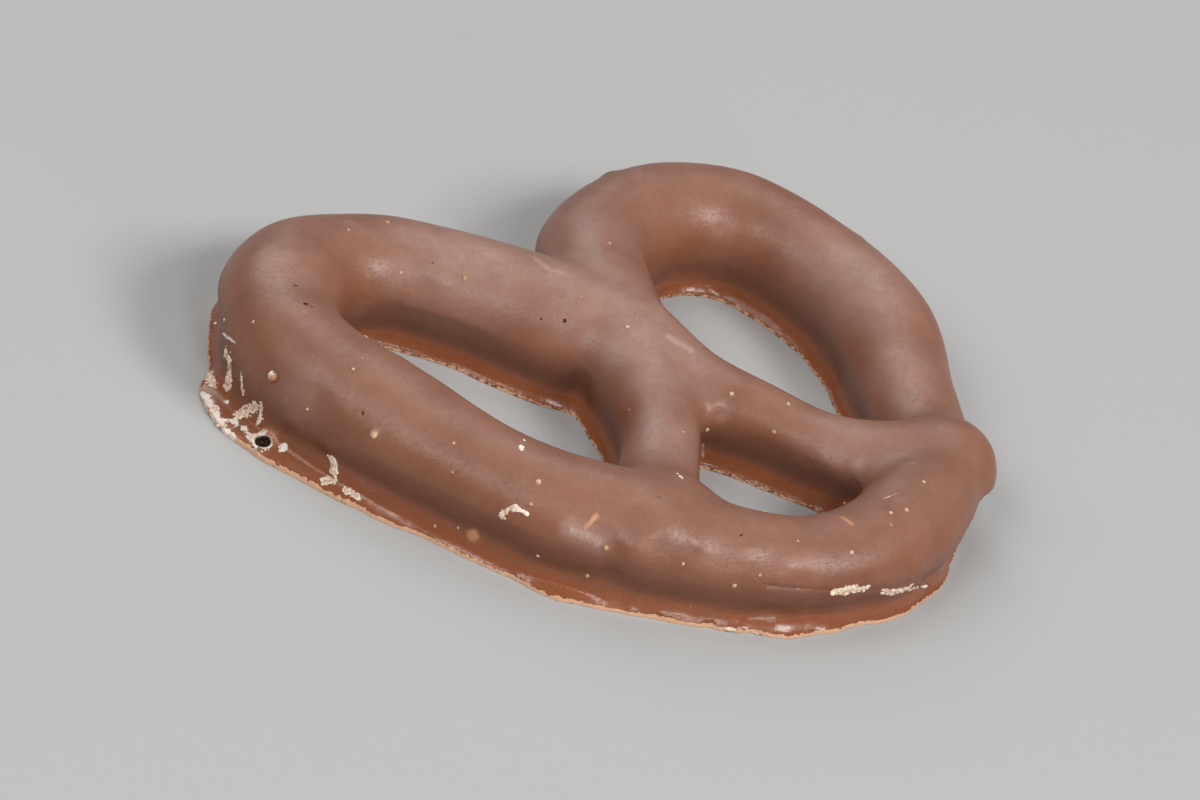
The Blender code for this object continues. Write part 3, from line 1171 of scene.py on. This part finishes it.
@dataclass(frozen=True)
class MilkChocolate:
    """Satin milk chocolate with bloom, scuffs and the lighter grain of its broken rim, and with painted sheen on the
    upper faces, a painted highlight, and painted shade on the lower walls, in the pits and partly on the skirt.
    """

    name: str = "milk_chocolate"
    deep: Colour = (0.198, 0.071, 0.035)
    milk: Colour = (0.236, 0.090, 0.048)
    # Painted sheen colour.
    painted_sheen: Colour = (0.42, 0.280, 0.235)
    # Painted shade colour of the lower walls.
    wall: Colour = (0.130, 0.042, 0.019)
    # Colour of the skirt: partly the thinner coating, partly painted shade.
    skirt: Colour = (0.235, 0.070, 0.026)
    bloom: Colour = (0.60, 0.45, 0.37)
    scuff: Colour = (0.95, 0.85, 0.74)
    crumb: Colour = (0.80, 0.62, 0.48)
    rim: Colour = (0.66, 0.38, 0.23)
    stain: Colour = (0.48, 0.22, 0.11)
    # Painted shade colour of the pits and holes.
    painted_pit_shade: Colour = (0.035, 0.014, 0.007)
    roughness: float = 0.385
    ior: float = 1.48
    skirt_gloss: float = 0.19
    dull: float = 0.25
    scratched: tuple[Point, ...] = ((12, 0, 35), (0, 20, 95), (-15, 8, 160))

    def material(self) -> bpy.types.Material:
        """Builds the material.

        Returns:
            The material, which reads the marks on the coated pretzel.
        """
        make = Recipe(self.name)
        grid = make.grid()
        grain = make.noise(grid, 0.22, 3.0, 0.6)
        cloud = make.noise(grid, 6.0, 3.0)
        patch = make.noise(grid, 2.2, 5.0, 0.6)
        speck = make.noise(grid, 0.35, 5.0, 0.7)
        blob = make.noise(grid, 0.9, 3.0, 0.6)
        upward = make.add("SeparateXYZ", "Z", {0: make.add("NewGeometry", "Normal", {})})
        top = make.span(upward, 0.35, 0.95)

        colour = make.mix(make.span(cloud, 0.35, 0.65), self.deep, self.milk)
        # Painted sheen: faces turned up, and the sheen patches, are mixed toward a greyish pink.
        painted_sheen = make.plus(make.times(top, 0.16), make.times(make.mark(Mark.PAINTED_SHEEN), 0.62))
        painted_sheen = make.times(painted_sheen, make.span(patch, 0.35, 0.75, 0.75, 1.10), clamp=True)
        colour = make.mix(painted_sheen, colour, self.painted_sheen)
        # Painted shade: the lower walls are mixed toward a dark brown.
        wall = make.times(make.mark(Mark.WALL), make.span(patch, 0.3, 0.7, 0.70, 0.85))
        colour = make.mix(wall, colour, self.wall)
        # The skirt is mixed toward a dark saturated brown: partly the thinner coating, partly painted shade.
        skirt = make.times(make.mark(Mark.SKIRT), make.span(patch, 0.3, 0.7, 0.75, 0.95))
        colour = make.mix(skirt, colour, self.skirt)
        dust = make.times(make.span(speck, 0.59, 0.68, 0.0, 0.24), make.span(patch, 0.45, 0.7))
        colour = make.mix(dust, colour, self.bloom)

        crumbled = make.mix(make.span(make.noise(grid, 0.30, 4.0, 0.7), 0.38, 0.56), self.crumb, self.scuff)
        masks = {}
        for mark, tone, ragged, low, high in (
            (Mark.STAIN, self.stain, 0.5, 0.35, 0.95),
            (Mark.BLOOM, self.bloom, 1.0, 0.25, 1.60),
            (Mark.RIM, self.rim, 0.8, 0.30, 0.50),
            (Mark.SCUFF, crumbled, 1.4, 0.42, 0.56),
            # The pits are painted shade.
            (Mark.PIT_SHADE, self.painted_pit_shade, 0.4, 0.35, 0.60),
        ):
            uneven = make.times(make.math("SUBTRACT", speck, 0.5), ragged)
            if mark is Mark.SCUFF:
                uneven = make.plus(uneven, make.times(make.math("SUBTRACT", blob, 0.5), 2.4))
            edge = make.span(make.plus(make.mark(mark), uneven), low, high)
            masks[mark] = make.times(edge, make.span(make.mark(mark), 0.02, 0.12))
            colour = make.mix(masks[mark], colour, tone)
        shade = make.span(grain, 0.2, 0.8, 0.93, 1.07)
        colour = make.add("VectorMath", 0, {0: colour, "Scale": shade}, operation="SCALE")

        rough = make.plus(make.times(patch, 0.06), self.roughness - 0.03)
        rough = make.plus(rough, make.times(make.mark(Mark.SKIRT), -self.skirt_gloss))
        rough = make.plus(rough, make.times(top, 0.04))
        for mark in (Mark.SCUFF, Mark.RIM, Mark.BLOOM):
            rough = make.plus(rough, make.times(masks[mark], self.dull), clamp=True)

        normal = None
        for height, depth in (
            (grain, 0.010),
            (patch, 0.018),
            (make.times(speck, masks[Mark.SCUFF]), 0.20),
            (make.times(speck, masks[Mark.RIM]), 0.08),
            (self.scratches(make), 0.012),
        ):
            normal = make.bump(height, depth, normal)
        make.shader.inputs["IOR"].default_value = self.ior
        return make.finish(colour, rough, normal)

    def scratches(self, make: Recipe) -> Socket:
        """Hairline scratches in three directions.

        Args:
            make: the recipe that they are added to.

        Returns:
            A height, 1 on the surface and 0 in a scratch.
        """
        height = 1.0
        for turn in self.scratched:
            lines = make.noise(make.grid((0.12, 2.6, 2.6), turn), 1.0, 1.0)
            line = make.math("ABSOLUTE", make.math("SUBTRACT", lines, 0.62))
            height = make.math("MINIMUM", height, make.span(line, 0.0, 0.012))
        return height


@dataclass(frozen=True)
class Matt:
    """A matt finish for what came loose: two tones in patches, and a grain. Patches and grain have their lengths."""

    name: str
    light: Colour
    dark: Colour
    patch: float
    layers: float
    spread: float
    grain: float
    roughness: tuple[float, float]

    def material(self) -> bpy.types.Material:
        """Builds the material.

        Returns:
            The material.
        """
        make = Recipe(self.name)
        grid = make.grid()
        tone = make.span(make.noise(grid, self.patch, self.layers), 0.5 - self.spread, 0.5 + self.spread)
        grain = make.noise(grid, self.grain, 3.0, 0.6)
        rough = make.span(grain, 0.2, 0.8, *self.roughness)
        return make.finish(make.mix(tone, self.light, self.dark), rough, make.bump(grain, 0.03))


CRUST = Matt("baked_crust", (0.62, 0.43, 0.29), (0.46, 0.25, 0.13), 1.4, 2.0, 0.10, 0.09, (0.55, 0.85))
BROKEN = Matt("broken_chocolate", (0.80, 0.64, 0.50), (0.58, 0.37, 0.25), 0.6, 3.0, 0.15, 0.12, (0.5, 0.8))


@dataclass(frozen=True)
class Softbox:
    """An area light that faces the pretzel: its direction in degrees, its distance and sides in metres, its power."""

    name: str
    azimuth: float
    elevation: float
    distance: float
    width: float
    height: float
    watts: float

    def place(self) -> None:
        """Puts the light into the scene."""
        data = bpy.data.lights.new(self.name, "AREA")
        data.shape = "RECTANGLE"
        data.size, data.size_y = self.width, self.height
        data.energy = self.watts
        lamp = bpy.data.objects.new(self.name, data)
        level, up = math.radians(self.azimuth), math.radians(self.elevation)
        away = Vector((math.cos(level) * math.cos(up), math.sin(level) * math.cos(up), math.sin(up)))
        lamp.location = away * self.distance
        lamp.rotation_euler = away.to_track_quat("Z", "Y").to_euler()
        lamp.visible_camera = False
        bpy.context.scene.collection.objects.link(lamp)


@dataclass
class Studio:
    """The floor, the lights and the camera."""

    floor_side: float = 4.0
    floor_gap: float = 0.05
    floor_roughness: float = 0.9
    floor_colour: Colour = (0.43, 0.427, 0.418)
    sky: Colour = (0.10, 0.10, 0.105)
    softboxes: tuple[Softbox, ...] = (
        Softbox("light_right", -68, 39, 1.5, 0.62, 0.50, 15.5),
        Softbox("light_top", 58, 60, 1.5, 1.0, 0.9, 5.0),
        Softbox("light_left_side", 160, 40, 1.5, 0.8, 0.8, 5.5),
        Softbox("light_left", -165, 38, 1.5, 0.5, 0.5, 5.8),
        Softbox("light_behind", 74, 31, 1.5, 0.8, 0.6, 4.0),
        Softbox("light_front", -115, 38, 1.5, 0.30, 0.28, 4.5),
        Softbox("light_front_low", -99, 12, 1.5, 0.6, 0.14, 3.2),
    )

    def build(self) -> None:
        """Builds the whole studio."""
        self.add_floor()
        self.add_sky()
        for softbox in self.softboxes:
            softbox.place()
        self.add_camera()
        bpy.context.scene.view_settings.view_transform = "Standard"
        log.info("studio: %d lights", len(self.softboxes))

    def add_floor(self) -> None:
        """A plain pale floor just under the pretzel."""
        bm = bmesh.new()
        bmesh.ops.create_grid(bm, x_segments=1, y_segments=1, size=self.floor_side / 2)
        bmesh.ops.translate(bm, verts=bm.verts, vec=(0, 0, -self.floor_gap * MM))
        mesh = bpy.data.meshes.new("floor")
        bm.to_mesh(mesh)
        bm.free()
        make = Recipe("pale_floor")
        make.shader.inputs["Specular IOR Level"].default_value = 0.1
        mesh.materials.append(make.finish(self.floor_colour, self.floor_roughness))
        floor = bpy.data.objects.new("floor", mesh)
        bpy.context.scene.collection.objects.link(floor)

    def add_sky(self) -> None:
        """An even pale surrounding."""
        world = bpy.data.worlds.new("surrounding")
        world.use_nodes = True
        world.node_tree.nodes["Background"].inputs["Color"].default_value = (*self.sky, 1.0)
        bpy.context.scene.world = world

    def add_camera(self) -> None:
        """The camera at the photograph's place and angle."""
        data = bpy.data.cameras.new("camera")
        data.lens = LENS
        data.sensor_width = SENSOR
        data.clip_start = 0.01
        camera = bpy.data.objects.new("camera", data)
        camera.matrix_world = Matrix.Translation(Vector(EYE) * MM) @ camera_turn().to_matrix().to_4x4()
        bpy.context.scene.collection.objects.link(camera)
        bpy.context.scene.camera = camera


def main() -> None:
    """Builds the pretzel, what sticks to it, and the studio."""
    logging.basicConfig(level=logging.INFO, format="%(name)s: %(message)s")
    pretzel = CoatedPretzel().build(MilkChocolate().material())
    skin, sight = Skin(pretzel.data), Sight(pretzel.data)
    Crumbs(skin, sight, CRUST.material()).build()
    broken = BROKEN.material()
    Crumble(skin, sight, broken).build()
    Flakes(skin, sight, broken).build()
    Studio().build()


if __name__ == "__main__":
    main()
